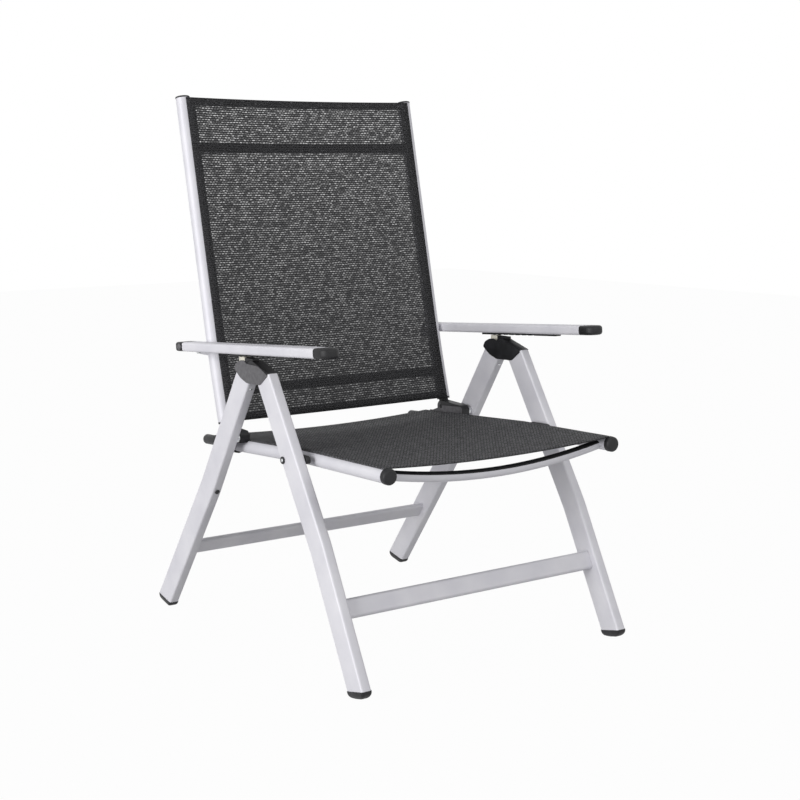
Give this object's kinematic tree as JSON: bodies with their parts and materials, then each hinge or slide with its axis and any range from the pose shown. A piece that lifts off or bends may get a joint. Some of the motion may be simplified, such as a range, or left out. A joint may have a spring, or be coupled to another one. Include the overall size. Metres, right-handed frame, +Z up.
{
  "type": "folding sling patio chair",
  "caption": "High-backed folding patio chair with stretched seat and back slings, armrests that slide over a catch to set the recline, and two hinged leg frames.",
  "frame": {"origin": "floor level under the middle of the chair's bounding box", "axes": "+Z up, the sitter faces -Y, +X across the chair"},
  "size_m": [0.6656, 0.821, 1.0724],
  "materials": {
    "aluminium": "satin silver",
    "black_plastic": "matt",
    "grey_plastic": "satin",
    "pale_plastic": "satin",
    "steel": "plain zinc",
    "sling": "coated mesh weave with light flecks"
  },
  "bodies": {
    "front_leg_frame": {"front_leg_left": "aluminium", "front_leg_right": "aluminium", "front_stretcher": "aluminium", "front_foot_left": "black_plastic", "front_foot_right": "black_plastic", "front_knuckle_left": "grey_plastic", "front_knuckle_right": "grey_plastic", "knuckle_rivet_left": "steel", "knuckle_rivet_right": "steel", "armrest_catch_left": "pale_plastic", "armrest_catch_right": "pale_plastic", "seat_bolt_left": "steel", "seat_bolt_right": "steel"},
    "rear_leg_frame": {"rear_leg_left": "aluminium", "rear_leg_right": "aluminium", "rear_stretcher": "aluminium", "rear_foot_left": "black_plastic", "rear_foot_right": "black_plastic", "rear_knuckle_left": "grey_plastic", "rear_knuckle_right": "grey_plastic", "leg_buffer_left": "black_plastic", "leg_buffer_right": "black_plastic", "rear_leg_pin_left": "steel", "rear_leg_pin_right": "steel"},
    "seat_frame": {"seat_rail_left": "aluminium", "seat_rail_right": "aluminium", "seat_front_bow": "aluminium", "seat_rear_bow": "aluminium", "rail_front_cap_left": "black_plastic", "rail_front_cap_right": "black_plastic", "rail_rear_cap_left": "black_plastic", "rail_rear_cap_right": "black_plastic", "seat_spacer_left": "black_plastic", "seat_spacer_right": "black_plastic", "seat_sling": "sling"},
    "hinge_brackets": {"hinge_bracket_left": "black_plastic", "hinge_bracket_right": "black_plastic", "hinge_bolt_left": "steel", "hinge_bolt_right": "steel"},
    "backrest": {"back_tube_left": "aluminium", "back_tube_right": "aluminium", "back_foot_left": "black_plastic", "back_foot_right": "black_plastic", "back_plug_left": "black_plastic", "back_plug_right": "black_plastic", "back_upper_bar": "aluminium", "back_lower_bar": "aluminium", "armrest_lug_left": "aluminium", "armrest_lug_right": "aluminium", "back_sling": "sling"},
    "armrest_pivot_left": {"armrest_bolt_left": "steel"},
    "armrest_pivot_right": {"armrest_bolt_right": "steel"},
    "left_armrest": {"armrest_left": "aluminium", "armrest_front_cap_left": "black_plastic", "armrest_rear_plug_left": "black_plastic", "armrest_rack_left": "black_plastic"},
    "right_armrest": {"armrest_right": "aluminium", "armrest_front_cap_right": "black_plastic", "armrest_rear_plug_right": "black_plastic", "armrest_rack_right": "black_plastic"}
  },
  "joints": [
    {"name": "leg_fold", "type": "hinge", "parent": "front_leg_frame", "child": "rear_leg_frame", "pos_m": [0, -0.02849, 0.547], "axis": [-1, 0, 0], "range_deg": [0, 50]},
    {"name": "seat_tilt", "type": "hinge", "parent": "front_leg_frame", "child": "seat_frame", "pos_m": [0, -0.14049, 0.393], "axis": [-1, 0, 0], "range_deg": [0, 31]},
    {"name": "bracket_slide", "type": "slide", "parent": "seat_frame", "child": "hinge_brackets", "axis": [0, -0.9984, 0.0558], "range_m": [0, 0.1495]},
    {"name": "backrest_recline", "type": "hinge", "parent": "hinge_brackets", "child": "backrest", "pos_m": [0, 0.14651, 0.403], "axis": [-1, 0, 0], "range_deg": [0, 45]},
    {"name": "armrest_lift_left", "type": "hinge", "parent": "backrest", "child": "armrest_pivot_left", "pos_m": [-0.3095, 0.23251, 0.56], "axis": [-1, 0, 0], "range_deg": [0, 21]},
    {"name": "armrest_lift_right", "type": "hinge", "parent": "backrest", "child": "armrest_pivot_right", "pos_m": [0.3095, 0.23251, 0.56], "axis": [-1, 0, 0], "range_deg": [0, 21]},
    {"name": "armrest_turn_left", "type": "hinge", "parent": "armrest_pivot_left", "child": "left_armrest", "pos_m": [-0.3095, 0.23251, 0.57], "axis": [-1, 0, 0], "range_deg": [-27.5, 0]},
    {"name": "armrest_turn_right", "type": "hinge", "parent": "armrest_pivot_right", "child": "right_armrest", "pos_m": [0.3095, 0.23251, 0.57], "axis": [-1, 0, 0], "range_deg": [-27.5, 0]}
  ],
  "couplings": [
    {"joint": "seat_tilt", "follows": "leg_fold", "ratio": 0.61662},
    {"joint": "bracket_slide", "follows": "leg_fold", "m_per_rad": 0.17102},
    {"joint": "armrest_lift_left", "follows": "leg_fold", "ratio": 0.415},
    {"joint": "armrest_lift_right", "follows": "leg_fold", "ratio": 0.415},
    {"joint": "armrest_turn_left", "follows": "backrest_recline", "ratio": -0.58},
    {"joint": "armrest_turn_right", "follows": "backrest_recline", "ratio": -0.58}
  ]
}
